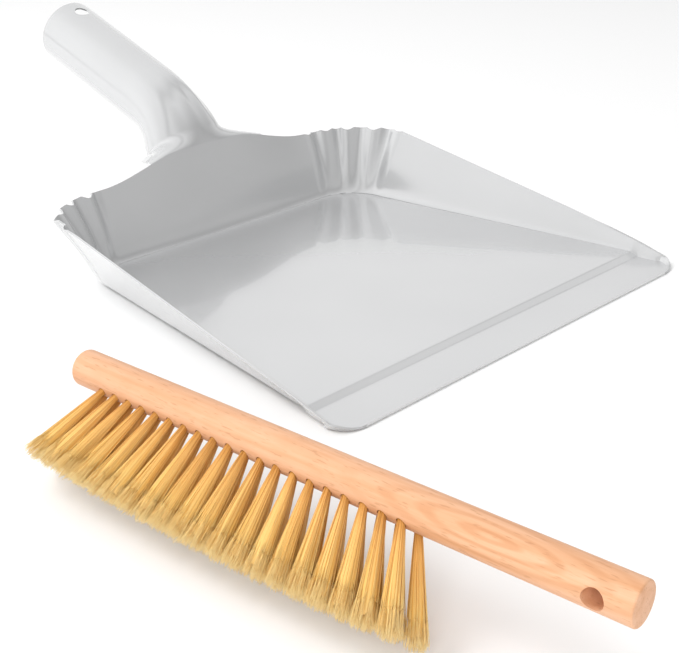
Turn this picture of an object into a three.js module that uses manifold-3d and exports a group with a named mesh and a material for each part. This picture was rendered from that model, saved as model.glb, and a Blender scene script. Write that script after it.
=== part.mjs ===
// Dust pan and hand brush set.
// The pan is one pressed sheet: floor, stepped front lip, flared walls, fluted back corners and a handle
// rolled from the same sheet. The brush is a turned wooden stick with two staggered rows of bristle tufts. It
// stands on its lower bristle tips on the same floor, left of the pan, with its stick level.
// Millimetres, +Z up, +Y towards the pan's handle. The origin is under the middle of the pan's front lip.
import * as THREE from 'three';
import { mergeVertices } from 'three/addons/utils/BufferGeometryUtils.js';
import Module from 'manifold-3d';

const DEG = Math.PI / 180;

// Pan
const SHEET = 0.9;
const FRONT_WIDTH = 250;
const BACK_WIDTH = 196;
const LIP_DEPTH = 23;
const STEP_RUN = 5.5;
const STEP_RISE = 2.2;
const PAN_DEPTH = 224; // front edge to the bend at the foot of the back wall
const FRONT_CORNER = 13;
const BACK_CORNER = 26;
const WALL_HEIGHT = 38.5; // above the ground, to the middle of the sheet's edge
const BACK_PEAK = 10.5; // extra height of the back wall beside the neck
const WALL_FLARE = 21.7;
const BACK_FLARE = 15;
const FRONT_RIM_HEIGHT = 4.2; // wall height just behind the front corner
const FRONT_RIM_FLARE = 3.2;
const FRONT_RISE_LENGTH = 16;
const BEND_SOFTNESS = 6; // how far the bend at a wall's foot swells outwards
const BEND_TIGHTNESS = 6; // how soon up the wall that swelling dies away
const BEND_DROP = 0.4; // how far it lowers the wall, for its swelling
const PEAK_RATE = 1.3; // how soon the back wall reaches its peak
// Wrinkles pressed round each back corner, from the side wall to the back wall: place as a share of the
// corner, width as a share of it, and depth outwards.
const FOLDS = [
  [0.04, 0.045, 1.3], [0.15, 0.05, -2.2], [0.28, 0.05, 2.4], [0.4, 0.05, -1.8], [0.52, 0.05, 2.2],
  [0.62, 0.04, -2.4], [0.73, 0.05, 1.6], [0.84, 0.045, -2.6], [0.94, 0.04, 1.6],
];
const OTHER_CORNER = -0.85; // the right corner's wrinkles, for the left's
const RIM_WAVE = 0.6; // how far a wrinkle pulls the rim down, for its depth

// Rolled handle
const HANDLE_RADIUS = 19.5; // outside
const HANDLE_RISE = 18.3 * DEG;
const NECK_LENGTH = 84; // along the ridge, from the flat wall to the round tube
const NECK_START = 0.62; // share of the wall height where the ridge starts to lean back
const NECK_SPREAD = 62; // half the width of back wall that the neck draws with it
const TUBE_LENGTH = 86;
const TAB_HALF_WIDTH = 41; // of the sheet tab where it leaves the rim
const SEAM_GAP = 0.5;
const CURL_AT_RIM = 0.06; // share of the tube's curl that the tab has at the rim
const CURL_RATE = 5.5; // how soon along the neck the tab reaches the whole curl
const WIDEN_START = 0.2; // share of the neck where the tab starts to widen
const WIDEN_RATE = 1.6; // how soon after that it is wide enough to close
const SETTLE_RATE = 1.6; // how soon it is free of the back wall's shape
const NECK_SWELL = 0.34; // how much wider than the tube the neck's curl is, where it starts
const NECK_CROWDING = 1.5; // how much closer together the mesh rows are near the rim
const HANG_HOLE_RADIUS = 4.5;
const HANG_HOLE_FROM_END = 12;

// Brush
const STICK_LENGTH = 232;
const STICK_RADIUS = 7.2;
const STICK_CHAMFER = 0.7;
const TUFTS_UPPER = 20; // the lower row has one more, half a pitch out of step
const TUFT_PITCH = 7.3;
const FIRST_UPPER_TUFT = 16.7; // from the head end
const ROW_ANGLE = 24 * DEG; // each row of holes, from the middle plane of the bristles
const ROW_SPLAY = 5 * DEG; // each row of bristles, from that plane
const END_FAN = 23 * DEG; // lean of the end tufts along the stick
const HOLE_RADIUS = 1.7;
const HOLE_DEPTH = 7;
const FIT_GAP = 0.3;
const BRISTLE_LENGTH = 37;
const ROOT_STRAIGHT = 1.5; // how far a tuft stays round outside its hole
const BELLY_PLACE = 0.3; // share of the length where a tuft is BELLY_WIDTH of its widest
const BELLY_WIDTH = 0.62;
const SHOULDER_PLACE = 0.94; // share of the length where a tuft is widest
const END_WIDTH = 0.7; // of its widest, at the very tip
const TUFT_TIP_ALONG = 4.2; // half widths of a tuft at its shoulder, along and across the stick
const TUFT_TIP_ACROSS = 4.6;
const STICK_HOLE_RADIUS = 3.6;
const STICK_HOLE_FROM_END = 12; // the hole lies level
const HEAD_PLACE = new THREE.Vector2(-201, 52.5); // of the stick's head end on the floor plan
const BRUSH_TURN = 6 * DEG; // the stick's turn from the pan's own direction
const BRISTLE_DROP = 45 * DEG; // how far the bristles point below level
const FLOOR_GAP = 0.3;

// Fineness of the mesh
const CORNER_STEPS = 33;
const SIDE_STATIONS = [40, 75, 110, 145, 172]; // along the side walls, behind the step
const RIDGE_STEPS = 60;
const NECK_STEPS = 11;
const TAB_COLUMNS = 22;
const TUFT_SIDES = 8;

// ---------------------------------------------------------------- surfaces and solids

class Surface {
  constructor() {
    this.points = [];
    this.faces = [];
    this.known = new Map();
  }

  vertex(p) {
    const key = `${Math.round(p.x * 1e3)},${Math.round(p.y * 1e3)},${Math.round(p.z * 1e3)}`;
    if (!this.known.has(key)) {
      this.known.set(key, this.points.length);
      this.points.push(p.clone());
    }
    return this.known.get(key);
  }

  face(a, b, c) {
    const [i, j, k] = [a, b, c].map((p) => this.vertex(p));
    if (i !== j && j !== k && k !== i) this.faces.push([i, j, k]);
  }

  // Quads between neighbouring columns of points, all of one length.
  strip(columns) {
    for (let c = 0; c + 1 < columns.length; c++) {
      for (let r = 0; r + 1 < columns[c].length; r++) {
        const [p, q] = [columns[c], columns[c + 1]];
        this.face(p[r], p[r + 1], q[r]);
        this.face(q[r], p[r + 1], q[r + 1]);
      }
    }
  }

  // One flat outline, anticlockwise from above.
  polygon(outline) {
    const flat = outline.map((p) => new THREE.Vector2(p.x, p.y));
    for (const [a, b, c] of THREE.ShapeUtils.triangulateShape(flat, [])) {
      this.face(outline[a], outline[b], outline[c]);
    }
  }
}

// The small vector that moves a point off all the faces round it by the same distance.
function mitre(normals, distance) {
  const m = new THREE.Matrix3().set(1e-3, 0, 0, 0, 1e-3, 0, 0, 0, 1e-3);
  const right = new THREE.Vector3();
  for (const n of normals) {
    const v = n.toArray();
    for (let i = 0; i < 3; i++) for (let j = 0; j < 3; j++) m.elements[3 * j + i] += v[i] * v[j];
    right.addScaledVector(n, distance);
  }
  return right.applyMatrix3(m.invert());
}

// A closed sheet of even thickness about an open surface.
function thicken(surface, thickness) {
  const normals = surface.points.map(() => []);
  for (const f of surface.faces) {
    const [a, b, c] = f.map((i) => surface.points[i]);
    const n = b.clone().sub(a).cross(c.clone().sub(a)).normalize();
    for (const i of f) normals[i].push(n);
  }
  const shift = normals.map((n) => mitre(n, thickness / 2));
  const count = surface.points.length;
  const position = [];
  for (const side of [1, -1]) {
    surface.points.forEach((p, i) => position.push(...p.clone().addScaledVector(shift[i], side).toArray()));
  }
  const index = [];
  const edges = new Map();
  for (const [a, b, c] of surface.faces) {
    index.push(a, b, c, c + count, b + count, a + count);
    for (const [p, q] of [[a, b], [b, c], [c, a]]) edges.set(`${p},${q}`, [p, q]);
  }
  for (const [p, q] of edges.values()) {
    if (edges.has(`${q},${p}`)) continue;
    index.push(q, p, p + count, q, p + count, q + count);
  }
  return solid(position, index);
}

function solid(position, index) {
  const g = new THREE.BufferGeometry();
  g.setAttribute('position', new THREE.Float32BufferAttribute(position, 3));
  g.setIndex(index);
  return g;
}

// A closed solid from rings of points, first and last ring capped flat.
function ringSolid(rings) {
  const n = rings[0].length;
  const position = rings.flat().flatMap((p) => p.toArray());
  const index = [];
  for (let r = 0; r + 1 < rings.length; r++) {
    for (let i = 0; i < n; i++) {
      const [a, b] = [r * n + i, r * n + ((i + 1) % n)];
      index.push(a, b, a + n, b, b + n, a + n);
    }
  }
  const last = (rings.length - 1) * n;
  for (let i = 1; i + 1 < n; i++) {
    index.push(0, i + 1, i);
    index.push(last, last + i, last + i + 1);
  }
  return solid(position, index);
}

const wasm = await Module();
wasm.setup();

function toManifold(geometry) {
  const bare = new THREE.BufferGeometry();
  bare.setAttribute('position', geometry.getAttribute('position'));
  if (geometry.index) bare.setIndex(geometry.index);
  const merged = mergeVertices(bare, 1e-4);
  const mesh = new wasm.Mesh({
    numProp: 3,
    vertProperties: new Float32Array(merged.getAttribute('position').array),
    triVerts: new Uint32Array(merged.index.array),
  });
  return new wasm.Manifold(mesh);
}

function fromManifold(manifold) {
  const mesh = manifold.getMesh();
  return solid(Array.from(mesh.vertProperties), Array.from(mesh.triVerts));
}

// A round bar from one point along a direction, for cutting holes.
function bar(from, direction, radius, length, sides) {
  const g = new THREE.CylinderGeometry(radius, radius, length, sides);
  g.translate(0, length / 2, 0);
  g.applyQuaternion(new THREE.Quaternion().setFromUnitVectors(new THREE.Vector3(0, 1, 0), direction));
  g.translate(from.x, from.y, from.z);
  return toManifold(g);
}

// ---------------------------------------------------------------- pan

const HALF_FRONT = FRONT_WIDTH / 2;
const HALF_BACK = BACK_WIDTH / 2;
const FRONT_Y = -LIP_DEPTH / 2;
const STEP_FOOT_Y = LIP_DEPTH / 2;
const STEP_TOP_Y = STEP_FOOT_Y + STEP_RUN;
const BACK_Y = FRONT_Y + PAN_DEPTH;
const MID_RADIUS = HANDLE_RADIUS - SHEET / 2;
const WALL_SHARES = [0, 0.07, 0.18, 0.42, 0.72, 1];

// Height of the sheet's middle over the ground at a place along the pan.
function floorHeight(y) {
  const base = SHEET / 2;
  if (y <= STEP_FOOT_Y) return base;
  if (y <= STEP_TOP_Y) return base + (STEP_RISE * (y - STEP_FOOT_Y)) / STEP_RUN;
  return base + (STEP_RISE * (BACK_Y - y)) / (BACK_Y - STEP_TOP_Y);
}

function floorPoint(x, y) {
  return new THREE.Vector3(x, y, floorHeight(y));
}

// One place on the foot of the walls: the point, the way out from it, and the wall there.
function foot(x, y, out, height, flare, flute = 0) {
  return { at: floorPoint(x, y), out: out.clone().normalize(), height, flare, flute };
}

function foldDepth(share) {
  const swell = ([place, width, depth]) => depth * Math.exp(-(((share - place) / width) ** 2));
  return FOLDS.reduce((sum, fold) => sum + swell(fold), 0);
}

// The foot line of the left wall, from the front edge round the back-left corner.
function leftFeet() {
  const feet = [];
  // backwards along the wall
  const run = new THREE.Vector2(HALF_FRONT - HALF_BACK, BACK_Y - FRONT_Y).normalize();
  const out = new THREE.Vector3(-run.y, run.x, 0);
  const sideX = (y) => -HALF_FRONT + ((y - FRONT_Y) * run.x) / run.y;
  const span = BACK_Y - BACK_CORNER - FRONT_Y;
  const wall = (share) => {
    const start = 1 - Math.exp((-share * span) / FRONT_RISE_LENGTH);
    return [
      FRONT_RIM_HEIGHT * start + (WALL_HEIGHT - FRONT_RIM_HEIGHT) * share,
      FRONT_RIM_FLARE * start + (WALL_FLARE - FRONT_RIM_FLARE) * share,
    ];
  };
  for (const turn of [0, 30, 60]) {
    const a = turn * DEG;
    const y = FRONT_Y + FRONT_CORNER * (1 - Math.cos(a));
    const x = sideX(FRONT_Y) + FRONT_CORNER * (1 - Math.sin(a));
    feet.push(foot(x, y, new THREE.Vector3(-Math.sin(a), -Math.cos(a), 0), ...wall((y - FRONT_Y) / span)));
  }
  const stations = [FRONT_Y + FRONT_CORNER, STEP_FOOT_Y, STEP_TOP_Y, ...SIDE_STATIONS];
  for (const y of stations) feet.push(foot(sideX(y), y, out, ...wall((y - FRONT_Y) / span)));
  const startY = BACK_Y - BACK_CORNER;
  const centre = new THREE.Vector2(sideX(startY) + BACK_CORNER, startY);
  for (let i = 0; i <= CORNER_STEPS; i++) {
    const share = i / CORNER_STEPS;
    const a = share * 90 * DEG;
    const way = new THREE.Vector3(-Math.cos(a), Math.sin(a), 0);
    const flare = WALL_FLARE + (BACK_FLARE - WALL_FLARE) * share;
    feet.push(foot(centre.x + BACK_CORNER * way.x, centre.y + BACK_CORNER * way.y, way,
      WALL_HEIGHT, flare, foldDepth(share)));
  }
  return feet;
}

// A column of the wall, from its foot to its rim.
function wallColumn(f) {
  return WALL_SHARES.map((w) => {
    const soft = BEND_SOFTNESS * 4 * w * (1 - w) ** BEND_TIGHTNESS * Math.min(1, f.height / WALL_HEIGHT);
    const outward = f.flare * w + soft + f.flute * w;
    const up = (f.height + SHEET / 2 - f.at.z) * w - soft * BEND_DROP - RIM_WAVE * Math.abs(f.flute) * w ** 3;
    return f.at.clone().addScaledVector(f.out, outward).add(new THREE.Vector3(0, 0, up));
  });
}

function smooth(x) {
  const t = Math.min(1, Math.max(0, x));
  return t * t * (3 - 2 * t);
}

// The ridge of the neck and tube: a point and a slope at a distance along it from the foot of the back wall.
const RIDGE_HEIGHT = WALL_HEIGHT + BACK_PEAK;
const WALL_SLOPE = Math.atan2(RIDGE_HEIGHT, BACK_FLARE);
const WALL_LENGTH = Math.hypot(RIDGE_HEIGHT, BACK_FLARE);
const BEND_START = NECK_START * WALL_LENGTH;
const NECK_END = BEND_START + NECK_LENGTH;

function ridgeSlope(distance) {
  return WALL_SLOPE + (HANDLE_RISE - WALL_SLOPE) * smooth((distance - BEND_START) / NECK_LENGTH);
}

function ridge(distance) {
  const step = distance / RIDGE_STEPS;
  const p = floorPoint(0, BACK_Y);
  for (let i = 0; i < RIDGE_STEPS; i++) {
    const slope = ridgeSlope((i + 0.5) * step);
    p.add(new THREE.Vector3(0, Math.cos(slope) * step, Math.sin(slope) * step));
  }
  return { p, slope: ridgeSlope(distance) };
}

// How far a section of the tab has left the wall: 0 at the rim, 1 once it is a closed tube.
function rolled(distance) {
  return Math.min(1, Math.max(0, (distance - WALL_LENGTH) / (NECK_END - WALL_LENGTH)));
}

// A point of the tab. across runs from -1 to 1 over its width. The tab curls to the tube's radius well
// before it is wide enough to close underneath.
function tabPoint(distance, across) {
  const { p, slope } = ridge(distance);
  const share = rolled(distance);
  const radius = MID_RADIUS * (1 + NECK_SWELL * (1 - share) ** 2);
  const full = Math.PI * radius - SEAM_GAP / 2;
  const half = TAB_HALF_WIDTH + (full - TAB_HALF_WIDTH) * smooth((share - WIDEN_START) * WIDEN_RATE);
  const bend = smooth(CURL_AT_RIM + CURL_RATE * share) / radius;
  const s = across * half;
  const lean = new THREE.Vector3(0, Math.sin(slope), -Math.cos(slope));
  const ridgeSide = new THREE.Vector3(Math.sin(bend * s) / bend, p.y, p.z);
  return ridgeSide.addScaledVector(lean, (1 - Math.cos(bend * s)) / bend);
}

// The back wall, peaked towards the middle and drawn back with the neck there.
const BACK_CORNER_X = HALF_BACK + ((HALF_FRONT - HALF_BACK) * BACK_CORNER) / PAN_DEPTH - BACK_CORNER;

function backFoot(x) {
  const height = WALL_HEIGHT + BACK_PEAK * smooth(PEAK_RATE * (1 - Math.abs(x) / BACK_CORNER_X));
  return foot(x, BACK_Y, new THREE.Vector3(0, 1, 0), height, BACK_FLARE);
}

function backColumn(x) {
  const flatTop = floorPoint(0, BACK_Y).add(new THREE.Vector3(0, BACK_FLARE, RIDGE_HEIGHT));
  const shift = ridge(WALL_LENGTH).p.sub(flatTop);
  const share = Math.cos((Math.PI / 2) * Math.min(1, Math.abs(x) / NECK_SPREAD)) ** 2;
  return wallColumn(backFoot(x)).map((p, r) => {
    const rise = Math.max(0, (WALL_SHARES[r] - NECK_START) / (1 - NECK_START)) ** 2;
    return p.addScaledVector(shift, rise * share);
  });
}

function panSurface() {
  const s = new Surface();
  const left = leftFeet();
  const mirror = (f) => ({
    ...f,
    at: new THREE.Vector3(-f.at.x, f.at.y, f.at.z),
    out: new THREE.Vector3(-f.out.x, f.out.y, f.out.z),
    flute: OTHER_CORNER * f.flute,
  });
  const right = left.map(mirror).reverse();

  const tabShares = [];
  for (let i = 0; i <= TAB_COLUMNS; i++) tabShares.push((2 * i) / TAB_COLUMNS - 1);
  const beside = [0.33, 0.67].map((t) => BACK_CORNER_X + (TAB_HALF_WIDTH - BACK_CORNER_X) * t);
  const backX = [
    ...beside.map((x) => -x),
    ...tabShares.map((a) => a * TAB_HALF_WIDTH),
    ...beside.slice().reverse(),
  ];

  // walls
  s.strip([...left.map(wallColumn), ...backX.map(backColumn), ...right.map(wallColumn)].reverse());

  // neck and tube, growing from the rim between the tab's edges
  const distances = [];
  for (let i = 1; i <= NECK_STEPS; i++) {
    distances.push(WALL_LENGTH + (NECK_END - WALL_LENGTH) * (i / NECK_STEPS) ** NECK_CROWDING);
  }
  distances.push(NECK_END + TUBE_LENGTH * 0.5, NECK_END + TUBE_LENGTH);
  const tab = tabShares.map((a) => {
    const start = backColumn(a * TAB_HALF_WIDTH).pop();
    const offset = start.clone().sub(tabPoint(WALL_LENGTH, a));
    const settling = (d) => 1 - smooth(rolled(d) * SETTLE_RATE);
    const rows = distances.map((d) => tabPoint(d, a).addScaledVector(offset, settling(d)));
    return [start, ...rows];
  });
  s.strip(tab.reverse());

  // floor, step and lip
  const feet = [...left, ...backX.map(backFoot), ...right];
  const main = feet.map((f) => f.at).filter((p) => p.y >= STEP_TOP_Y - 1e-6);
  s.polygon(main.slice().reverse());
  const lip = feet.map((f) => f.at).filter((p) => p.y <= STEP_FOOT_Y + 1e-6);
  s.polygon(lip.slice().reverse());
  const at = (list, y) => list.find((f) => Math.abs(f.at.y - y) < 1e-6).at;
  const [a, b] = [at(left, STEP_FOOT_Y), at(right, STEP_FOOT_Y)];
  const [c, d] = [at(right, STEP_TOP_Y), at(left, STEP_TOP_Y)];
  s.face(a, b, c);
  s.face(a, c, d);
  return s;
}

function panBody() {
  const sheet = toManifold(thicken(panSurface(), SHEET));
  const holeDistance = NECK_END + TUBE_LENGTH - HANG_HOLE_FROM_END;
  const { p, slope } = ridge(holeDistance);
  const normal = new THREE.Vector3(0, -Math.sin(slope), Math.cos(slope));
  const start = p.clone().addScaledVector(normal, -HANDLE_RADIUS / 2);
  const hole = bar(start, normal, HANG_HOLE_RADIUS, HANDLE_RADIUS, 20);
  return fromManifold(sheet.subtract(hole));
}

// ---------------------------------------------------------------- brush

// Height of the stick's middle when the lower bristle tips just meet the floor.
function restingHeight() {
  const tip = BRISTLE_DROP + ROW_SPLAY;
  const root = STICK_RADIUS * Math.sin(BRISTLE_DROP + ROW_ANGLE);
  const end = END_WIDTH * TUFT_TIP_ACROSS * Math.cos(tip);
  return FLOOR_GAP + root + BRISTLE_LENGTH * Math.sin(tip) + end;
}

// The brush is built along its stick: x from the head end, y the way the bristles point, z across the rows
// and downwards.
function tuftPlace(upper, i) {
  const x = FIRST_UPPER_TUFT + TUFT_PITCH * (upper ? i : i - 0.5);
  const side = upper ? -1 : 1; // z across the rows points downwards
  const middle = FIRST_UPPER_TUFT + (TUFT_PITCH * (TUFTS_UPPER - 1)) / 2;
  const fan = (END_FAN * (x - middle)) / (middle - FIRST_UPPER_TUFT);
  const direction = new THREE.Vector3(
    Math.sin(fan),
    Math.cos(fan) * Math.cos(ROW_SPLAY),
    Math.cos(fan) * Math.sin(ROW_SPLAY) * side,
  );
  const [inRow, aside] = [STICK_RADIUS * Math.cos(ROW_ANGLE), STICK_RADIUS * Math.sin(ROW_ANGLE)];
  const at = new THREE.Vector3(x, inRow, side * aside);
  return { at, direction };
}

function tuftPlaces() {
  const places = [];
  for (let i = 0; i < TUFTS_UPPER; i++) places.push({ name: `tuft_upper_${i + 1}`, ...tuftPlace(true, i) });
  for (let i = 0; i <= TUFTS_UPPER; i++) places.push({ name: `tuft_lower_${i + 1}`, ...tuftPlace(false, i) });
  return places;
}

function brushStick() {
  const profile = [
    new THREE.Vector2(0, 0),
    new THREE.Vector2(STICK_RADIUS - STICK_CHAMFER, 0),
    new THREE.Vector2(STICK_RADIUS, STICK_CHAMFER),
    new THREE.Vector2(STICK_RADIUS, STICK_LENGTH - STICK_CHAMFER),
    new THREE.Vector2(STICK_RADIUS - STICK_CHAMFER, STICK_LENGTH),
    new THREE.Vector2(0, STICK_LENGTH),
  ];
  const g = new THREE.LatheGeometry(profile, 36);
  g.rotateZ(-Math.PI / 2);
  let body = toManifold(g);
  const lead = 3; // the cutting bar starts this far outside the wood
  for (const { at, direction } of tuftPlaces()) {
    const start = at.clone().addScaledVector(direction, -HOLE_DEPTH);
    body = body.subtract(bar(start, direction, HOLE_RADIUS, HOLE_DEPTH + lead, 10));
  }
  const level = new THREE.Vector3(0, Math.cos(BRISTLE_DROP), -Math.sin(BRISTLE_DROP));
  const from = new THREE.Vector3(STICK_LENGTH - STICK_HOLE_FROM_END, 0, 0)
    .addScaledVector(level, -2 * STICK_RADIUS);
  body = body.subtract(bar(from, level, STICK_HOLE_RADIUS, 4 * STICK_RADIUS, 18));
  return fromManifold(body);
}

// A tuft: a round root in its hole, opening to an oval tip.
function tuft({ at, direction }) {
  const root = HOLE_RADIUS - FIT_GAP;
  const along = new THREE.Vector3(1, 0, 0).addScaledVector(direction, -direction.x).normalize();
  const across = direction.clone().cross(along);
  const stations = [
    [FIT_GAP - HOLE_DEPTH, root, root],
    [ROOT_STRAIGHT, root, root],
    [BELLY_PLACE * BRISTLE_LENGTH, BELLY_WIDTH * TUFT_TIP_ALONG, BELLY_WIDTH * TUFT_TIP_ACROSS],
    [SHOULDER_PLACE * BRISTLE_LENGTH, TUFT_TIP_ALONG, TUFT_TIP_ACROSS],
    [BRISTLE_LENGTH, END_WIDTH * TUFT_TIP_ALONG, END_WIDTH * TUFT_TIP_ACROSS],
  ];
  const rings = stations.map(([d, a, b]) => {
    const ring = [];
    for (let i = 0; i < TUFT_SIDES; i++) {
      const t = (2 * Math.PI * i) / TUFT_SIDES;
      ring.push(at.clone()
        .addScaledVector(direction, d)
        .addScaledVector(along, a * Math.cos(t))
        .addScaledVector(across, b * Math.sin(t)));
    }
    return ring;
  });
  return ringSolid(rings);
}

// Stands the brush in place on its lower bristle tips.
function brushPlacement() {
  const stick = new THREE.Vector3(Math.sin(BRUSH_TURN), -Math.cos(BRUSH_TURN), 0);
  const level = new THREE.Vector3(-Math.cos(BRUSH_TURN), -Math.sin(BRUSH_TURN), 0);
  const bristles = level.clone().multiplyScalar(Math.cos(BRISTLE_DROP));
  bristles.z = -Math.sin(BRISTLE_DROP);
  const across = stick.clone().cross(bristles);
  const m = new THREE.Matrix4().makeBasis(stick, bristles, across);
  m.setPosition(HEAD_PLACE.x, HEAD_PLACE.y, restingHeight());
  return m;
}

// ---------------------------------------------------------------- assembly

const MATERIALS = {
  steel: new THREE.MeshStandardMaterial({ color: 0xc9cbcc, roughness: 0.18, metalness: 0.4 }),
  wood: new THREE.MeshStandardMaterial({ color: 0xeab583, roughness: 0.6, metalness: 0 }),
  bristle: new THREE.MeshStandardMaterial({ color: 0xd9ab55, roughness: 0.55, metalness: 0 }),
};

function node(name, geometry, material) {
  const mesh = new THREE.Mesh(geometry, material);
  mesh.name = name;
  return mesh;
}

const set = new THREE.Group();
set.name = 'dust_pan_and_brush';
set.add(node('pan_body', panBody(), MATERIALS.steel));
const placement = brushPlacement();
set.add(node('brush_stick', brushStick().applyMatrix4(placement), MATERIALS.wood));
for (const place of tuftPlaces()) {
  set.add(node(place.name, tuft(place).applyMatrix4(placement), MATERIALS.bristle));
}

export default set;
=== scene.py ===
import math
import random

import bmesh
import bpy
from mathutils import Matrix, Vector


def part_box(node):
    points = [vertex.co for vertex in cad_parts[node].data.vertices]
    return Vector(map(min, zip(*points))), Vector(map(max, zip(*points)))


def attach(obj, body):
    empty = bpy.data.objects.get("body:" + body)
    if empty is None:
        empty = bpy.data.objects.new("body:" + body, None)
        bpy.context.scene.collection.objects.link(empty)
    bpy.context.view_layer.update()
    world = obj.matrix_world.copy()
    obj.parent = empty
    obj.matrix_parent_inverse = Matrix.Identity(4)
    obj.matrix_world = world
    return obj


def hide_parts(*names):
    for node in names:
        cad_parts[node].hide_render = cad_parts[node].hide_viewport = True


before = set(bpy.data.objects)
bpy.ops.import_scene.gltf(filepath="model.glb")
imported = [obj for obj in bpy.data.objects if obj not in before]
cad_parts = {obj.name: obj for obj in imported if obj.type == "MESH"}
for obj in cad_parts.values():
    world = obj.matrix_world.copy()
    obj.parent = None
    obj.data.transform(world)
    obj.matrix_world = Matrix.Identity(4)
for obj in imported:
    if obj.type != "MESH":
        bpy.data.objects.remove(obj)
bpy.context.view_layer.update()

MM = 0.001
ON_LINE = 1e-6  # how near a point counts as on a line

# ---------------------------------------------------------------- sizes, in millimetres
# The lip's depth, and the stick's thickness and place, come from the frame. The rest repeat the CAD's,
# apart from the neck's creases, which are only here.

pan_low, pan_high = [Vector(corner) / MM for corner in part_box("pan_body")]
stick_low, stick_high = [Vector(corner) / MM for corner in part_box("brush_stick")]

SHEET = 0.9
LIP_DEPTH = -2 * pan_low.y - SHEET
STEP_RUN = 5.5
STEP_RISE = 2.2
PAN_DEPTH = 224.0
HALF_FRONT = 125.0
HALF_BACK = 98.0
FRONT_CORNER = 13.0
BACK_CORNER = 26.0
WALL_HEIGHT = 38.5
BACK_PEAK = 10.5
PEAK_RATE = 1.3
WALL_FLARE = 21.7
BACK_FLARE = 15.0
FRONT_RIM_HEIGHT = 4.2
FRONT_RIM_FLARE = 3.2
FRONT_RISE_LENGTH = 16.0
BEND_SOFTNESS = 6.0
BEND_TIGHTNESS = 6
BEND_DROP = 0.4
OTHER_CORNER = -0.85
RIM_WAVE = 0.6
# Wrinkles round a back corner: place and width as shares of the corner, and depth outwards.
FOLDS = [
    (0.04, 0.045, 1.3),
    (0.15, 0.05, -2.2),
    (0.28, 0.05, 2.4),
    (0.4, 0.05, -1.8),
    (0.52, 0.05, 2.2),
    (0.62, 0.04, -2.4),
    (0.73, 0.05, 1.6),
    (0.84, 0.045, -2.6),
    (0.94, 0.04, 1.6),
]

HANDLE_RADIUS = 19.5
HANDLE_RISE = math.radians(18.3)
NECK_LENGTH = 84.0
NECK_START = 0.62
NECK_SPREAD = 62.0
TUBE_LENGTH = 86.0
TAB_HALF_WIDTH = 41.0
SEAM_GAP = 0.5
CURL_AT_RIM = 0.06
CURL_RATE = 5.5
WIDEN_START = 0.2
WIDEN_RATE = 1.6
SETTLE_RATE = 1.6
NECK_SWELL = 0.34
NECK_CROWDING = 1.5
# Shallow creases pressed along the neck: place across it, width and depth.
CREASES = [(-9.0, 4.0, 0.9), (3.0, 3.0, 1.3), (15.0, 4.5, 1.0)]
HANG_HOLE_RADIUS = 4.5
HANG_HOLE_FROM_END = 12.0

STICK_RADIUS = (stick_high.z - stick_low.z) / 2
STICK_HEIGHT = (stick_high.z + stick_low.z) / 2
BRUSH_TURN = math.radians(6)
BRISTLE_DROP = math.radians(45)
STICK_LENGTH = 232.0
STICK_CHAMFER = 0.7
TUFTS_UPPER = 20
TUFT_PITCH = 7.3
FIRST_UPPER_TUFT = 16.7
ROW_ANGLE = math.radians(24)
ROW_SPLAY = math.radians(5)
END_FAN = math.radians(23)
HOLE_RADIUS = 1.7
HOLE_DEPTH = 7.0
FIT_GAP = 0.3
BRISTLE_LENGTH = 37.0
SHOULDER_PLACE = 0.94
END_WIDTH = 0.7
TUFT_TIP_ALONG = 4.2
TUFT_TIP_ACROSS = 4.6
STICK_HOLE_RADIUS = 3.6
STICK_HOLE_FROM_END = 12.0

FRONT_Y = -LIP_DEPTH / 2
STEP_FOOT_Y = LIP_DEPTH / 2
STEP_TOP_Y = STEP_FOOT_Y + STEP_RUN
BACK_Y = FRONT_Y + PAN_DEPTH
MID_RADIUS = HANDLE_RADIUS - SHEET / 2


# ---------------------------------------------------------------- helpers


def lerp(a, b, t):
    return a + (b - a) * t


def smooth(x):
    t = min(1.0, max(0.0, x))
    return t * t * (3 - 2 * t)


def even(first, last, count):
    """count + 1 even values from first to last."""
    return [lerp(first, last, i / count) for i in range(count + 1)]


class MeshMaker:
    """Points and faces in millimetres, with points that meet joined into one."""

    def __init__(self):
        self.points = []
        self.faces = []
        self.known = {}

    def vertex(self, p):
        key = (round(p[0], 3), round(p[1], 3), round(p[2], 3))
        if key not in self.known:
            self.known[key] = len(self.points)
            self.points.append(Vector(p))
        return self.known[key]

    def face(self, *corners):
        ring = []
        for p in corners:
            v = self.vertex(p)
            if v not in ring:
                ring.append(v)
        if len(ring) > 2:
            self.faces.append(ring)

    def strip(self, columns):
        for p, q in zip(columns, columns[1:]):
            for r in range(len(p) - 1):
                self.face(p[r], p[r + 1], q[r + 1], q[r])

    def build(self, name, matrix=None):
        mesh = bpy.data.meshes.new(name)
        mesh.from_pydata([p * MM for p in self.points], [], self.faces)
        mesh.update()
        obj = bpy.data.objects.new(name, mesh)
        bpy.context.collection.objects.link(obj)
        if matrix is not None:
            obj.matrix_world = matrix
        return obj


def smooth_shading(obj, angle=40):
    for poly in obj.data.polygons:
        poly.use_smooth = True
    obj.data.set_sharp_from_angle(angle=math.radians(angle))


def cylinder_into(maker, start, direction, radius, length, sides):
    """A closed round bar, added to a mesh."""
    along = direction.normalized()
    side = along.orthogonal().normalized()
    other = along.cross(side)
    rings = []
    for distance in (0.0, length):
        centre = start + along * distance
        rings.append(
            [
                centre + (side * math.cos(a) + other * math.sin(a)) * radius
                for a in even(0, 2 * math.pi, sides)[:-1]
            ]
        )
    for i in range(sides):
        j = (i + 1) % sides
        maker.face(rings[0][i], rings[0][j], rings[1][j], rings[1][i])
    maker.face(*reversed(rings[0]))
    maker.face(*rings[1])


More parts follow.
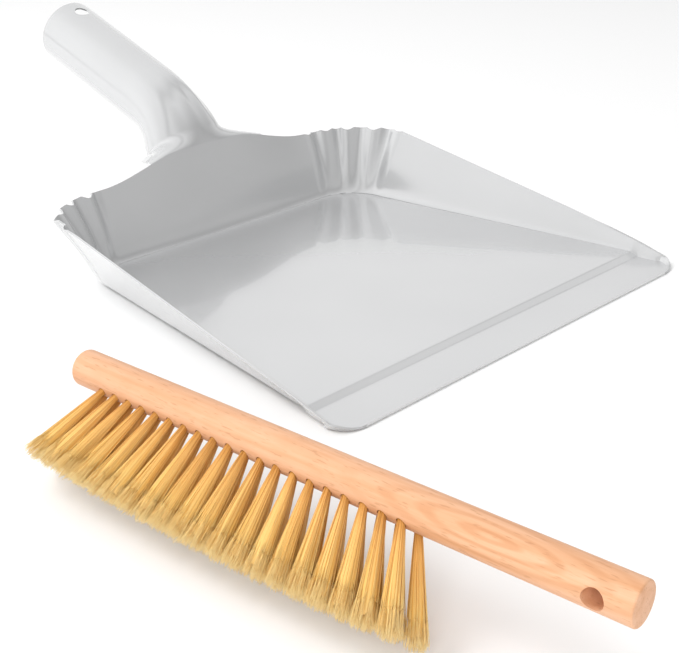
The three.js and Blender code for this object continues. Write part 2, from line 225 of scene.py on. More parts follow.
def keep_inside(points, matrix, box):
    """Moves any point that stands outside a CAD box back to it.

    points are in metres, in their piece's frame.
    """
    low, high = box
    back = matrix.inverted()
    for i, p in enumerate(points):
        placed = matrix @ Vector(p)
        held = Vector([min(high[k], max(low[k], placed[k])) for k in range(3)])
        if held != placed:
            points[i] = back @ held


def keep_mesh_inside(obj, matrix, node):
    points = [v.co.copy() for v in obj.data.vertices]
    keep_inside(points, matrix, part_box(node))
    for v, p in zip(obj.data.vertices, points):
        v.co = p


def cut(obj, cutter):
    """Cuts one object out of another and removes the cutter."""
    modifier = obj.modifiers.new("cut", "BOOLEAN")
    modifier.operation = "DIFFERENCE"
    modifier.solver = "EXACT"
    modifier.object = cutter
    apply_modifiers(obj)
    bpy.data.objects.remove(cutter)


def apply_modifiers(obj):
    bpy.context.view_layer.update()
    graph = bpy.context.evaluated_depsgraph_get()
    mesh = bpy.data.meshes.new_from_object(obj.evaluated_get(graph))
    obj.modifiers.clear()
    obj.data = mesh


# ---------------------------------------------------------------- material helpers


def new_material(name):
    material = bpy.data.materials.new(name)
    material.use_nodes = True
    nodes = material.node_tree.nodes
    return material, nodes, material.node_tree.links, nodes["Principled BSDF"]


def noise_node(nodes, links, vector, scale, detail=2.0, roughness=0.5, distortion=0.0):
    node = nodes.new("ShaderNodeTexNoise")
    node.inputs["Scale"].default_value = scale
    node.inputs["Detail"].default_value = detail
    node.inputs["Roughness"].default_value = roughness
    node.inputs["Distortion"].default_value = distortion
    links.new(vector, node.inputs["Vector"])
    return node.outputs["Fac"]


def mapped(nodes, links, vector, scale=(1, 1, 1), location=(0, 0, 0)):
    node = nodes.new("ShaderNodeMapping")
    node.inputs["Scale"].default_value = scale
    node.inputs["Location"].default_value = location
    links.new(vector, node.inputs["Vector"])
    return node.outputs["Vector"]


def ramp(nodes, links, value, stops):
    node = nodes.new("ShaderNodeValToRGB")
    elements = node.color_ramp.elements
    while len(elements) < len(stops):
        elements.new(0.5)
    for element, (place, colour) in zip(elements, stops):
        element.position = place
        element.color = (*colour, 1.0)
    links.new(value, node.inputs["Fac"])
    return node.outputs["Color"]


def grey_ramp(nodes, links, value, stops):
    return ramp(nodes, links, value, [(place, (grey, grey, grey)) for place, grey in stops])


def mix_colour(nodes, links, fac, a, b, mode="MIX"):
    node = nodes.new("ShaderNodeMix")
    node.data_type = "RGBA"
    node.blend_type = mode
    for socket, value in ((node.inputs[0], fac), (node.inputs[6], a), (node.inputs[7], b)):
        if isinstance(value, (int, float)):
            socket.default_value = value
        elif isinstance(value, tuple):
            socket.default_value = (*value, 1.0)
        else:
            links.new(value, socket)
    return node.outputs[2]


def math_node(nodes, links, operation, a, b=0.0):
    node = nodes.new("ShaderNodeMath")
    node.operation = operation
    for socket, value in zip(node.inputs, (a, b)):
        if isinstance(value, (int, float)):
            socket.default_value = value
        else:
            links.new(value, socket)
    return node.outputs[0]


def bump(nodes, links, height, strength, distance, into):
    node = nodes.new("ShaderNodeBump")
    node.inputs["Strength"].default_value = strength
    node.inputs["Distance"].default_value = distance
    links.new(height, node.inputs["Height"])
    links.new(node.outputs["Normal"], into)


# ---------------------------------------------------------------- materials


def steel_material():
    """Glossy light grey enamel over thin sheet, with faint ripples and fine scuffs."""
    material, nodes, links, shader = new_material("enamelled_steel")
    place = nodes.new("ShaderNodeTexCoord").outputs["Object"]
    broad = noise_node(nodes, links, place, 14.0, 1.0)
    fine = noise_node(nodes, links, place, 420.0, 3.0)
    tint = ramp(nodes, links, broad, [(0.3, (0.645, 0.65, 0.655)), (0.7, (0.675, 0.68, 0.685))])
    links.new(tint, shader.inputs["Base Color"])
    shader.inputs["Metallic"].default_value = 0.6
    gloss = grey_ramp(nodes, links, fine, [(0.3, 0.15), (0.75, 0.2)])
    links.new(gloss, shader.inputs["Roughness"])
    shader.inputs["Coat Weight"].default_value = 0.8
    shader.inputs["Coat IOR"].default_value = 1.7
    shader.inputs["Coat Roughness"].default_value = 0.03
    ripple_depth = 0.0009
    scuffs = math_node(nodes, links, "MULTIPLY", fine, 0.004)
    height = math_node(nodes, links, "ADD", broad, scuffs)
    bump(nodes, links, height, 0.3, ripple_depth, shader.inputs["Normal"])
    bump(nodes, links, broad, 0.2, ripple_depth, shader.inputs["Coat Normal"])
    return material


def wood_material():
    """Beech along the local x axis: broad growth bands, short dark flecks and an oval figure near one end."""
    material, nodes, links, shader = new_material("beech")
    place = nodes.new("ShaderNodeTexCoord").outputs["Object"]
    stretched = mapped(nodes, links, place, (7.0, 130.0, 130.0))
    grain = noise_node(nodes, links, stretched, 2.2, 5.0, 0.6, 0.5)
    fleck_place = mapped(nodes, links, place, (130.0, 900.0, 900.0))
    flecks = noise_node(nodes, links, fleck_place, 1.6, 1.0, 0.4)
    figure_centre = (STICK_LENGTH * 0.80 * MM, 0.0, -STICK_RADIUS * 1.1 * MM)
    scale = (14.0, 78.0, 60.0)
    offset = tuple(-c * s for c, s in zip(figure_centre, scale))
    rings = nodes.new("ShaderNodeTexWave")
    rings.wave_type = "RINGS"
    rings.rings_direction = "SPHERICAL"
    rings.inputs["Scale"].default_value = 1.5
    rings.inputs["Distortion"].default_value = 2.2
    rings.inputs["Detail"].default_value = 2.0
    rings.inputs["Detail Scale"].default_value = 1.4
    figure_place = mapped(nodes, links, place, scale, offset)
    links.new(figure_place, rings.inputs["Vector"])
    # the figure is strongest at its centre
    from_centre = nodes.new("ShaderNodeVectorMath")
    from_centre.operation = "LENGTH"
    links.new(figure_place, from_centre.inputs[0])
    figure = grey_ramp(nodes, links, from_centre.outputs["Value"], [(0.2, 0.75), (0.9, 0.12)])
    browns = [(0.25, (0.67, 0.33, 0.16)), (0.5, (0.76, 0.42, 0.24)), (0.8, (0.83, 0.51, 0.33))]
    base = ramp(nodes, links, grain, browns)
    ring_colour = ramp(nodes, links, rings.outputs["Fac"], [(0.35, (1, 1, 1)), (0.9, (0.86, 0.76, 0.66))])
    figured = mix_colour(nodes, links, figure, base, ring_colour, "MULTIPLY")
    mask = grey_ramp(nodes, links, flecks, [(0.62, 0.0), (0.72, 1.0)])
    mask = math_node(nodes, links, "MULTIPLY", mask, 0.5)
    colour = mix_colour(nodes, links, mask, figured, (0.52, 0.24, 0.11))
    links.new(colour, shader.inputs["Base Color"])
    gloss = grey_ramp(nodes, links, grain, [(0.2, 0.42), (0.8, 0.56)])
    links.new(gloss, shader.inputs["Roughness"])
    shader.inputs["Specular IOR Level"].default_value = 0.4
    pores = math_node(nodes, links, "MULTIPLY", mask, 0.5)
    height = math_node(nodes, links, "SUBTRACT", grain, pores)
    bump(nodes, links, height, 0.25, 0.0002, shader.inputs["Normal"])
    return material


def bristle_material():
    """Golden filaments, each with its own tint, paler towards the split tips; the tuft cores carry painted
    shade through the same tint values.
    """
    material, nodes, links, shader = new_material("bristle")
    share = nodes.new("ShaderNodeAttribute")
    share.attribute_name = "along"
    tint = nodes.new("ShaderNodeAttribute")
    tint.attribute_name = "tint"
    stops = [
        (0.0, (0.76, 0.38, 0.09)),
        (0.2, (0.98, 0.60, 0.20)),
        (0.7, (1.0, 0.70, 0.25)),
        (1.0, (1.0, 0.78, 0.38)),
    ]
    along = ramp(nodes, links, share.outputs["Fac"], stops)
    # the low end of this ramp gives the darker random filaments their tint, and also paints the shade of the
    # tuft cores and their grooves
    tint_and_shade_stops = [(0.0, (0.88, 0.76, 0.58)), (0.4, (1, 1, 1)), (1.0, (1, 1, 1))]
    own = ramp(nodes, links, tint.outputs["Fac"], tint_and_shade_stops)
    colour = mix_colour(nodes, links, 1.0, along, own, "MULTIPLY")
    links.new(colour, shader.inputs["Base Color"])
    place = nodes.new("ShaderNodeTexCoord").outputs["Object"]
    streak = noise_node(nodes, links, place, 900.0, 2.0)
    gloss = grey_ramp(nodes, links, streak, [(0.3, 0.3), (0.7, 0.45)])
    links.new(gloss, shader.inputs["Roughness"])
    shader.inputs["Specular IOR Level"].default_value = 0.6
    return material


def staple_material():
    """Bare steel wire, faintly scratched."""
    material, nodes, links, shader = new_material("staple_wire")
    place = nodes.new("ShaderNodeTexCoord").outputs["Object"]
    scratch = noise_node(nodes, links, place, 1500.0, 2.0)
    greys = ramp(nodes, links, scratch, [(0.3, (0.5, 0.5, 0.52)), (0.7, (0.65, 0.65, 0.67))])
    links.new(greys, shader.inputs["Base Color"])
    shader.inputs["Metallic"].default_value = 1.0
    shader.inputs["Roughness"].default_value = 0.35
    return material


# ---------------------------------------------------------------- pan


def floor_height(y):
    """Height of the sheet's middle over the ground."""
    if y <= STEP_FOOT_Y:
        return SHEET / 2
    if y <= STEP_TOP_Y:
        return SHEET / 2 + STEP_RISE * (y - STEP_FOOT_Y) / STEP_RUN
    return SHEET / 2 + STEP_RISE * (BACK_Y - y) / (BACK_Y - STEP_TOP_Y)


def floor_point(x, y):
    return Vector((x, y, floor_height(y)))


def foot(x, y, out, height, flare, flute=0.0):
    """A place on the foot of a wall, the way out from it, and the wall that rises there."""
    at = floor_point(x, y)
    return {"at": at, "out": out.normalized(), "height": height, "flare": flare, "flute": flute}


def fold_depth(share):
    """How far the wrinkles push the rim outwards at a share of the way round a corner."""
    return sum(depth * math.exp(-(((share - place) / width) ** 2)) for place, width, depth in FOLDS)


def left_feet():
    """The foot of the left wall, from the front edge round the back-left corner."""
    run = Vector((HALF_FRONT - HALF_BACK, BACK_Y - FRONT_Y)).normalized()
    out = Vector((-run.y, run.x, 0))
    span = BACK_Y - BACK_CORNER - FRONT_Y

    def side_x(y):
        return -HALF_FRONT + (y - FRONT_Y) * run.x / run.y

    def wall(y):
        share = (y - FRONT_Y) / span
        start = 1 - math.exp(-share * span / FRONT_RISE_LENGTH)
        height = FRONT_RIM_HEIGHT * start + (WALL_HEIGHT - FRONT_RIM_HEIGHT) * share
        flare = FRONT_RIM_FLARE * start + (WALL_FLARE - FRONT_RIM_FLARE) * share
        return height, flare

    feet = []
    for a in even(0, math.pi / 2, 12)[:-1]:
        y = FRONT_Y + FRONT_CORNER * (1 - math.cos(a))
        x = side_x(FRONT_Y) + FRONT_CORNER * (1 - math.sin(a))
        feet.append(foot(x, y, Vector((-math.sin(a), -math.cos(a), 0)), *wall(y)))
    stations = even(FRONT_Y + FRONT_CORNER, STEP_FOOT_Y, 2) + even(STEP_FOOT_Y, STEP_TOP_Y, 4)[1:]
    stations += even(STEP_TOP_Y, BACK_Y - BACK_CORNER, 16)[1:-1]
    for y in stations:
        feet.append(foot(side_x(y), y, out, *wall(y)))
    start_y = BACK_Y - BACK_CORNER
    centre = Vector((side_x(start_y) + BACK_CORNER, start_y, 0))
    for share in even(0, 1, 132):
        a = share * math.pi / 2
        way = Vector((-math.cos(a), math.sin(a), 0))
        flare = lerp(WALL_FLARE, BACK_FLARE, share)
        at = centre + BACK_CORNER * way
        feet.append(foot(at.x, at.y, way, WALL_HEIGHT, flare, fold_depth(share)))
    return feet


WIDEST = pan_high.x - SHEET  # the finer wrinkles stay inside the CAD's width
WALL_SHARES = [0, 0.02, 0.045, 0.075, 0.11, 0.15, 0.2, 0.27, 0.36, 0.48, 0.6, 0.72, 0.83, 0.92, 1]


def wall_column(f):
    """A column of the wall, from its foot to its rim."""
    column = []
    for w in WALL_SHARES:
        soft = BEND_SOFTNESS * 4 * w * (1 - w) ** BEND_TIGHTNESS * min(1, f["height"] / WALL_HEIGHT)
        outward = f["flare"] * w + soft + f["flute"] * w
        rise = f["height"] + SHEET / 2 - f["at"].z
        up = rise * w - soft * BEND_DROP - RIM_WAVE * abs(f["flute"]) * w**3
        p = f["at"] + f["out"] * outward + Vector((0, 0, up))
        p.x = min(WIDEST, max(-WIDEST, p.x))
        column.append(p)
    return column


RIDGE_HEIGHT = WALL_HEIGHT + BACK_PEAK
WALL_SLOPE = math.atan2(RIDGE_HEIGHT, BACK_FLARE)
WALL_LENGTH = math.hypot(RIDGE_HEIGHT, BACK_FLARE)
BEND_START = NECK_START * WALL_LENGTH
NECK_END = BEND_START + NECK_LENGTH
BACK_CORNER_X = HALF_BACK + (HALF_FRONT - HALF_BACK) * BACK_CORNER / PAN_DEPTH - BACK_CORNER


def ridge_slope(distance):
    return lerp(WALL_SLOPE, HANDLE_RISE, smooth((distance - BEND_START) / NECK_LENGTH))


def ridge(distance):
    """The ridge of the neck and tube: its point and slope at a distance from the foot of the back wall."""
    steps = 60
    point = floor_point(0, BACK_Y)
    step = distance / steps
    for i in range(steps):
        slope = ridge_slope((i + 0.5) * step)
        point += Vector((0, math.cos(slope), math.sin(slope))) * step
    return point, ridge_slope(distance)


def rolled(distance):
    """How far a section of the tab has left the wall: 0 at the rim, 1 once it is a closed tube."""
    return min(1.0, max(0.0, (distance - WALL_LENGTH) / (NECK_END - WALL_LENGTH)))


def tab_point(section, across):
    """A point of the rolled tab on one section across it."""
    distance, point, slope = section
    share = rolled(distance)
    radius = MID_RADIUS * (1 + NECK_SWELL * (1 - share) ** 2)
    full = math.pi * radius - SEAM_GAP / 2
    half = lerp(TAB_HALF_WIDTH, full, smooth((share - WIDEN_START) * WIDEN_RATE))
    bend = smooth(CURL_AT_RIM + CURL_RATE * share) / radius
    s = across * half
    lean = Vector((0, math.sin(slope), -math.cos(slope)))
    inward = Vector((-math.sin(bend * s), 0, 0)) + lean * math.cos(bend * s)
    crease = sum(depth * math.exp(-(((s - place) / width) ** 2)) for place, width, depth in CREASES)
    p = Vector((math.sin(bend * s) / bend, point.y, point.z)) + lean * (1 - math.cos(bend * s)) / bend
    return p + inward * crease * math.sin(math.pi * share) ** 2


def back_foot(x):
    """The foot of the back wall, which is peaked towards the middle."""
    height = WALL_HEIGHT + BACK_PEAK * smooth(PEAK_RATE * (1 - abs(x) / BACK_CORNER_X))
    return foot(x, BACK_Y, Vector((0, 1, 0)), height, BACK_FLARE)


NECK_SHIFT = ridge(WALL_LENGTH)[0] - floor_point(0, BACK_Y) - Vector((0, BACK_FLARE, RIDGE_HEIGHT))


def back_column(x):
    """The back wall, drawn back with the neck in the middle."""
    middle = math.cos(math.pi / 2 * min(1.0, abs(x) / NECK_SPREAD)) ** 2
    column = []
    for w, p in zip(WALL_SHARES, wall_column(back_foot(x))):
        rise = max(0.0, (w - NECK_START) / (1 - NECK_START)) ** 2
        column.append(p + NECK_SHIFT * rise * middle)
    return column


def pan_sheet():
    """The middle surface of the whole pressed sheet."""
    maker = MeshMaker()
    left = left_feet()
    right = []
    for f in reversed(left):
        at = Vector((-f["at"].x, f["at"].y, f["at"].z))
        out = Vector((-f["out"].x, f["out"].y, f["out"].z))
        right.append({**f, "at": at, "out": out, "flute": OTHER_CORNER * f["flute"]})
    shares = even(-1, 1, 88)
    beside = even(BACK_CORNER_X, TAB_HALF_WIDTH, 10)[1:-1]
    back_x = [-x for x in beside] + [a * TAB_HALF_WIDTH for a in shares] + beside[::-1]
    walls = [wall_column(f) for f in left]
    walls += [back_column(x) for x in back_x]
    walls += [wall_column(f) for f in right]
    maker.strip(walls)

    neck = [lerp(WALL_LENGTH, NECK_END, share**NECK_CROWDING) for share in even(0.0, 1.0, 44)[1:]]
    distances = neck + even(NECK_END, NECK_END + TUBE_LENGTH, 16)[1:]
    sections = [(d, *ridge(d)) for d in distances]
    rim = (WALL_LENGTH, *ridge(WALL_LENGTH))
    settling = [1 - smooth(rolled(d) * SETTLE_RATE) for d in distances]
    tab = []
    for a in shares:
        start = back_column(a * TAB_HALF_WIDTH)[-1]
        offset = start - tab_point(rim, a)
        tab.append([start] + [tab_point(s, a) + offset * kept for s, kept in zip(sections, settling)])
    maker.strip(tab)

    outline = [f["at"] for f in left] + [back_foot(x)["at"] for x in back_x] + [f["at"] for f in right]
    maker.face(*[p for p in outline if p.y >= STEP_TOP_Y - ON_LINE])
    maker.face(*[p for p in outline if p.y <= STEP_FOOT_Y + ON_LINE])
    step = [p for p in outline if STEP_FOOT_Y - ON_LINE <= p.y <= STEP_TOP_Y + ON_LINE]
    lefts = [p for p in step if p.x < 0]
    rights = [p for p in reversed(step) if p.x > 0]
    maker.strip([lefts, rights])
    return maker


def make_pan(material):
    """The pressed sheet, thickened, with its hanging hole cut through the handle's top."""
    obj = pan_sheet().build("pan_pressed_sheet")
    bm = bmesh.new()
    bm.from_mesh(obj.data)
    bmesh.ops.recalc_face_normals(bm, faces=bm.faces)
    bm.faces.ensure_lookup_table()
    biggest = max(bm.faces, key=lambda f: f.calc_area())  # the floor, which faces up
    if biggest.normal.z < 0:
        bmesh.ops.reverse_faces(bm, faces=bm.faces)
    bm.to_mesh(obj.data)
    bm.free()
    thick = obj.modifiers.new("thickness", "SOLIDIFY")
    thick.thickness = SHEET * MM
    thick.offset = 0.0
    thick.use_even_offset = True
    apply_modifiers(obj)
    point, slope = ridge(NECK_END + TUBE_LENGTH - HANG_HOLE_FROM_END)
    normal = Vector((0, -math.sin(slope), math.cos(slope)))
    hole = MeshMaker()
    cylinder_into(hole, point - normal * HANDLE_RADIUS / 2, normal, HANG_HOLE_RADIUS, HANDLE_RADIUS, 48)
    cut(obj, hole.build("hang_hole_cutter"))
    keep_mesh_inside(obj, Matrix.Identity(4), "pan_body")
    smooth_shading(obj, 38)
    weighted = obj.modifiers.new("normals", "WEIGHTED_NORMAL")
    weighted.keep_sharp = True
    weighted.weight = 80
    obj.data.materials.clear()
    obj.data.materials.append(material)
    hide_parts("pan_body")
    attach(obj, "pan")
    return obj


# ---------------------------------------------------------------- brush


def brush_matrix():
    """The brush's own frame.

    x runs along the stick from its head end, y the way the bristles point, z across the rows and downwards.
    """
    stick = Vector((math.sin(BRUSH_TURN), -math.cos(BRUSH_TURN), 0))
    level = Vector((-math.cos(BRUSH_TURN), -math.sin(BRUSH_TURN), 0))
    bristles = level * math.cos(BRISTLE_DROP) - Vector((0, 0, math.sin(BRISTLE_DROP)))
    across = stick.cross(bristles)
    matrix = Matrix((stick, bristles, across)).transposed().to_4x4()
    head_x = stick_low.x + STICK_RADIUS * math.cos(BRUSH_TURN)
    head_y = stick_high.y - STICK_RADIUS * math.sin(BRUSH_TURN)
    matrix.translation = Vector((head_x, head_y, STICK_HEIGHT)) * MM
    return matrix


def tuft_place(upper, i):
    """The mouth of a tuft's hole, and the way the tuft points. The lower row is half a pitch out of step."""
    x = FIRST_UPPER_TUFT + TUFT_PITCH * (i if upper else i - 0.5)
    side = -1 if upper else 1
    middle = FIRST_UPPER_TUFT + TUFT_PITCH * (TUFTS_UPPER - 1) / 2
    fan = END_FAN * (x - middle) / (middle - FIRST_UPPER_TUFT)
    lean = math.cos(fan)
    direction = Vector((math.sin(fan), lean * math.cos(ROW_SPLAY), lean * math.sin(ROW_SPLAY) * side))
    at = Vector((x, STICK_RADIUS * math.cos(ROW_ANGLE), side * STICK_RADIUS * math.sin(ROW_ANGLE)))
    return at, direction


def tuft_places():
    places = [(f"tuft_upper_{i + 1}", *tuft_place(True, i)) for i in range(TUFTS_UPPER)]
    places += [(f"tuft_lower_{i + 1}", *tuft_place(False, i)) for i in range(TUFTS_UPPER + 1)]
    return places


def make_stick(matrix, material):
    """The turned stick, with its tuft holes and its hanging hole drilled."""
    maker = MeshMaker()
    profile = [(0, STICK_RADIUS - STICK_CHAMFER)]
    for a in even(0, math.pi / 2, 4)[1:]:
        profile.append((STICK_CHAMFER * (1 - math.cos(a)), STICK_RADIUS - STICK_CHAMFER * (1 - math.sin(a))))
    profile += [(STICK_LENGTH - x, r) for x, r in reversed(profile)]
    sides = 96
    rings = []
    for x, r in profile:
        angles = even(0, 2 * math.pi, sides)[:-1]
        rings.append([Vector((x, r * math.cos(a), r * math.sin(a))) for a in angles])
    for low, high in zip(rings, rings[1:]):
        for i in range(sides):
            j = (i + 1) % sides
            maker.face(low[i], high[i], high[j], low[j])
    maker.face(*rings[0])
    maker.face(*reversed(rings[-1]))
    stick = maker.build("brush_stick_wood")
    cutter = MeshMaker()
    lead = 3.0  # the cutting bar starts this far outside the wood
    for _name, at, direction in tuft_places():
        cylinder_into(cutter, at - direction * HOLE_DEPTH, direction, HOLE_RADIUS, HOLE_DEPTH + lead, 24)
    level = Vector((0, math.cos(BRISTLE_DROP), -math.sin(BRISTLE_DROP)))
    start = Vector((STICK_LENGTH - STICK_HOLE_FROM_END, 0, 0)) - level * 2 * STICK_RADIUS
    cylinder_into(cutter, start, level, STICK_HOLE_RADIUS, 4 * STICK_RADIUS, 40)
    cut(stick, cutter.build("hole_cutters"))
    keep_mesh_inside(stick, matrix, "brush_stick")
    smooth_shading(stick, 35)
    stick.matrix_world = matrix
    stick.data.materials.clear()
    stick.data.materials.append(material)
    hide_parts("brush_stick")
    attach(stick, "brush")
    return stick


def strand_into(points, faces, values, path, radii, shares, tint):
    """A thin three-sided strand along a path, closed at both ends."""
    sides = 3
    first = len(points)
    for i, (p, r) in enumerate(zip(path, radii)):
        ahead = path[min(i + 1, len(path) - 1)] - path[max(i - 1, 0)]
        u = ahead.orthogonal().normalized()
        v = ahead.cross(u).normalized()
        for k in range(sides):
            a = 2 * math.pi * k / sides
            points.append((p + (u * math.cos(a) + v * math.sin(a)) * r) * MM)
            values.append((shares[i], tint))
    for i in range(len(path) - 1):
        for k in range(sides):
            a = first + i * sides + k
            b = first + i * sides + (k + 1) % sides
            faces.append((a, b, b + sides, a + sides))
    last = first + (len(path) - 1) * sides
    faces.append((first + 2, first + 1, first))
    faces.append((last, last + 1, last + 2))


def spread_at(t, root, tip):
    """Half width of a tuft at a share of its length: it opens steadily, then closes a little at its tip."""
    if t > SHOULDER_PLACE:
        return tip * lerp(1.0, END_WIDTH, (t - SHOULDER_PLACE) / (1 - SHOULDER_PLACE))
    return lerp(root, tip, (t / SHOULDER_PLACE) ** 0.9)


ROOT_RADIUS = HOLE_RADIUS - FIT_GAP
ROOT_DEPTH = 0.9 * HOLE_DEPTH
INSIDE = 0.95  # of a tuft's half width, for its outermost filaments
FILAMENT_RADIUS = 0.15
TIP_RADII = [0.11, 0.1, 0.08, 0.05]
SPLITS = 3  # tips that each filament ends in
LEAN_SPREAD = (0.4, 0.3)  # of a whole tuft, along and across the stick
WANDER_SPREAD = (0.3, 0.25)  # of one filament
KINK_SPREAD = 0.05
IN_HOLE = -0.12  # the share that stands for the tuft's end inside its hole
MAIN_SHARES = [IN_HOLE, 0.0, 0.1, 0.25, 0.45, 0.62, 0.76]
TIP_SHARES = [0.76, 0.84, 0.92, 1.0]
CORE_SHARES = [IN_HOLE, 0.0, 0.1, 0.25, 0.45, 0.62, 0.76, 0.84]


def distance_out(t, length):
    """How far along its tuft a share of a filament is, measured from the mouth of the hole."""
    return length * t if t >= 0 else ROOT_DEPTH * t / -IN_HOLE


def filament(at, direction, along, across, place, length, wander, shares):
    """A filament's path. place is its place in the tuft, within a circle of radius 1."""
    path = []
    for t in shares:
        distance = distance_out(t, length)
        shown = max(0.0, distance / BRISTLE_LENGTH)
        widest_u = spread_at(shown, ROOT_RADIUS, TUFT_TIP_ALONG)
        widest_v = spread_at(shown, ROOT_RADIUS, TUFT_TIP_ACROSS)
        u = INSIDE * widest_u * place[0] + wander[0] * shown**2
        v = INSIDE * widest_v * place[1] + wander[1] * shown**2
        u = min(widest_u, max(-widest_u, u))
        v = min(widest_v, max(-widest_v, v))
        path.append(at + direction * distance + along * u + across * v)
    return path


def core_into(points, faces, values, at, direction, along, across):
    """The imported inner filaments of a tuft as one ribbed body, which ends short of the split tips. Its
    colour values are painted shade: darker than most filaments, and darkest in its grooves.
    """
    sides = 30
    rib, groove = 0.86, 0.72
    narrow_from, narrow_by = 0.6, 0.35
    first = len(points)
    for t in CORE_SHARES:
        shown = max(0.0, t)
        distance = distance_out(t, BRISTLE_LENGTH)
        narrowing = 1 - narrow_by * max(0.0, shown - narrow_from) / (CORE_SHARES[-1] - narrow_from)
        for k in range(sides):
            a = 2 * math.pi * k / sides
            size = (rib if k % 2 else groove) * narrowing
            u = spread_at(shown, ROOT_RADIUS, TUFT_TIP_ALONG) * size * math.cos(a)
            v = spread_at(shown, ROOT_RADIUS, TUFT_TIP_ACROSS) * size * math.sin(a)
            points.append((at + direction * distance + along * u + across * v) * MM)
            # painted shade: the ribs take a darker tint value than most filaments, and the grooves the
            # darkest, for the shade inside the tuft
            values.append((shown, 0.25 if k % 2 else 0.0))
    for i in range(len(CORE_SHARES) - 1):
        for k in range(sides):
            a = first + i * sides + k
            b = first + i * sides + (k + 1) % sides
            faces.append((a, b, b + sides, a + sides))
    faces.append(tuple(range(first + sides - 1, first - 1, -1)))
    last = first + (len(CORE_SHARES) - 1) * sides
    faces.append(tuple(range(last, last + sides)))


def make_tuft(name, at, direction, matrix, material, rng, filaments):
    """A bundle of filaments bunched in its hole and opening to split, feathery tips."""
    along = (Vector((1, 0, 0)) - direction * direction.x).normalized()
    across = direction.cross(along)
    points, faces, values = [], [], []
    core_into(points, faces, values, at, direction, along, across)
    lean = (rng.gauss(0, LEAN_SPREAD[0]), rng.gauss(0, LEAN_SPREAD[1]))
    for _ in range(filaments):
        a = rng.uniform(0, 2 * math.pi)
        r = rng.random() ** 0.4
        place = (r * math.cos(a), r * math.sin(a))
        wander = [base + rng.gauss(0, spread) for base, spread in zip(lean, WANDER_SPREAD)]
        length = BRISTLE_LENGTH * (rng.uniform(0.955, 0.995) - 0.04 * r * r)
        tint = rng.random()
        path = filament(at, direction, along, across, place, length, wander, MAIN_SHARES)
        strand_into(points, faces, values, path, [FILAMENT_RADIUS] * len(path), MAIN_SHARES, tint)
        for _split in range(SPLITS):
            aside = [base + rng.gauss(0, spread) for base, spread in zip(wander, WANDER_SPREAD)]
            own_length = length * rng.uniform(0.95, 1.0)
            branch = filament(at, direction, along, across, place, own_length, aside, TIP_SHARES)
            branch[0] = path[-1]
            for step, p in enumerate(branch[1:], 1):
                kink = KINK_SPREAD * step
                p += along * rng.gauss(0, kink) + across * rng.gauss(0, kink)
            strand_into(points, faces, values, branch, TIP_RADII, TIP_SHARES, tint)
    points = [matrix @ p for p in points]
    keep_inside(points, Matrix.Identity(4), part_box(name))
    mesh = bpy.data.meshes.new(name + "_filaments")
    mesh.from_pydata(points, [], faces)
    for key, column in (("along", 0), ("tint", 1)):
        layer = mesh.attributes.new(key, "FLOAT", "POINT")
        layer.data.foreach_set("value", [v[column] for v in values])
    for poly in mesh.polygons:
        poly.use_smooth = True
    mesh.update()
    obj = bpy.data.objects.new(name + "_filaments", mesh)
    bpy.context.collection.objects.link(obj)
    mesh.materials.append(material)
    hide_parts(name)
    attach(obj, "brush")
    return obj


def make_staples(matrix, material):
    """The wire that anchors each tuft: a U across the bottom of its hole, its legs pressed into the wood."""
    maker = MeshMaker()
    wire = 0.3
    leg = 2.5
    side_gap = 0.2
    half = HOLE_RADIUS - side_gap
    for _name, at, direction in tuft_places():
        along = (Vector((1, 0, 0)) - direction * direction.x).normalized()
        crown = at - direction * (HOLE_DEPTH - 2 * wire)
        cylinder_into(maker, crown - along * half, along, wire, 2 * half, 8)
        for side in (-1, 1):
            cylinder_into(maker, crown + along * half * side, -direction, wire, leg, 8)
    staples = maker.build("anchor_staples", matrix)
    smooth_shading(staples)
    staples.data.materials.append(material)
    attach(staples, "brush")
    return staples


def make_brush():
    matrix = brush_matrix()
    make_stick(matrix, wood_material())
    make_staples(matrix, staple_material())
    filaments = 90
    bristle = bristle_material()
    rng = random.Random(11)
    for name, at, direction in tuft_places():
        make_tuft(name, at, direction, matrix, bristle, rng, filaments)


# ---------------------------------------------------------------- stage


def soft_light(name, place, aim, size, watts):
    """A soft panel that lights the pieces but isn't mirrored in the enamel."""
    data = bpy.data.lights.new(name, "AREA")
    data.shape = "RECTANGLE"
    data.size, data.size_y = size
    data.energy = watts
    obj = bpy.data.objects.new(name, data)
    obj.location = place
    obj.rotation_euler = (Vector(aim) - Vector(place)).to_track_quat("-Z", "Y").to_euler()
    obj.visible_glossy = False
    bpy.context.collection.objects.link(obj)
    return obj


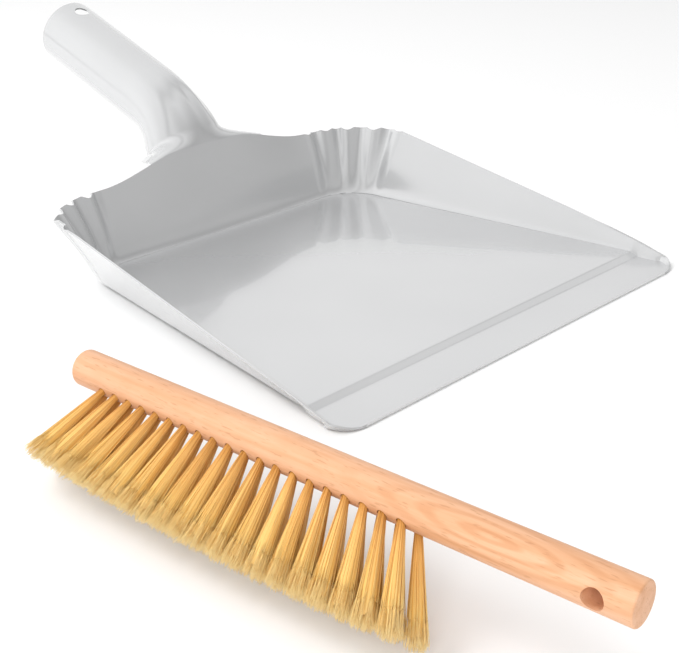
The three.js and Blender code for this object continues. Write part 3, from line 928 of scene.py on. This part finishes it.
def make_world():
    """Soft white surroundings, darker in front of the pan, which turns its back wall and handle grey."""
    world = bpy.data.worlds.new("studio")
    world.use_nodes = True
    nodes, links = world.node_tree.nodes, world.node_tree.links
    background = nodes["Background"]
    way = nodes.new("ShaderNodeTexCoord").outputs["Generated"]
    dot = nodes.new("ShaderNodeVectorMath")
    dot.operation = "DOT_PRODUCT"
    links.new(way, dot.inputs[0])
    dot.inputs[1].default_value = (0.25, -0.96, -0.1)
    share = math_node(nodes, links, "MULTIPLY_ADD", dot.outputs["Value"], 0.5)
    share.node.inputs[2].default_value = 0.5
    # greys from behind the pan to in front of it, with two darker bands that draw out the wrinkles
    stops = [
        (0.09, 1.0),
        (0.22, 0.82),
        (0.34, 0.78),
        (0.42, 0.48),
        (0.5, 0.74),
        (0.68, 0.53),
        (0.82, 0.34),
        (0.92, 0.5),
    ]
    shade = grey_ramp(nodes, links, share, stops)
    links.new(shade, background.inputs["Color"])
    background.inputs["Strength"].default_value = 1.15
    bpy.context.scene.world = world


def make_stage():
    """A pale floor, the surroundings and two soft lights."""
    mesh = bpy.data.meshes.new("floor")
    half = 6.0
    drop = 0.0002  # the floor lies this far under the pieces
    corners = [(-half, -half, 0), (half, -half, 0), (half, half, 0), (-half, half, 0)]
    mesh.from_pydata([Vector(c) for c in corners], [], [(0, 1, 2, 3)])
    floor = bpy.data.objects.new("floor", mesh)
    floor.location.z = -drop
    bpy.context.collection.objects.link(floor)
    material, nodes, links, shader = new_material("pale_floor")
    shader.inputs["Base Color"].default_value = (0.93, 0.93, 0.93, 1)
    shader.inputs["Roughness"].default_value = 0.8
    shader.inputs["Specular IOR Level"].default_value = 0.1
    mesh.materials.append(material)

    make_world()
    soft_light("key", (-0.9, 0.9, 1.6), (-0.05, 0.0, 0), (1.0, 1.0), 15)
    soft_light("fill", (-1.3, -1.1, 0.9), (-0.15, -0.05, 0), (1.2, 1.2), 14)
    bpy.context.scene.view_settings.view_transform = "Standard"


def make_camera():
    """Looks down on the set from its front left."""
    azimuth, elevation, roll = math.radians(-44.0), math.radians(24.8), math.radians(-1.1)
    distance = 0.571
    focal, sensor = 62.562592, 36
    target = Vector((-0.052, 0.078 - LIP_DEPTH / 2 * MM, 0.0))
    back = Vector(
        (
            math.sin(azimuth) * math.cos(elevation),
            -math.cos(azimuth) * math.cos(elevation),
            math.sin(elevation),
        )
    )
    data = bpy.data.cameras.new("camera")
    data.lens = focal
    data.sensor_width = sensor
    data.clip_end = 50
    obj = bpy.data.objects.new("camera", data)
    obj.location = target + back * distance
    level = back.to_track_quat("Z", "Y").to_matrix()
    obj.rotation_euler = (level @ Matrix.Rotation(roll, 3, "Z")).to_euler()
    bpy.context.collection.objects.link(obj)
    bpy.context.scene.camera = obj


make_pan(steel_material())
make_brush()
make_stage()
make_camera()

bpy.context.view_layer.update()
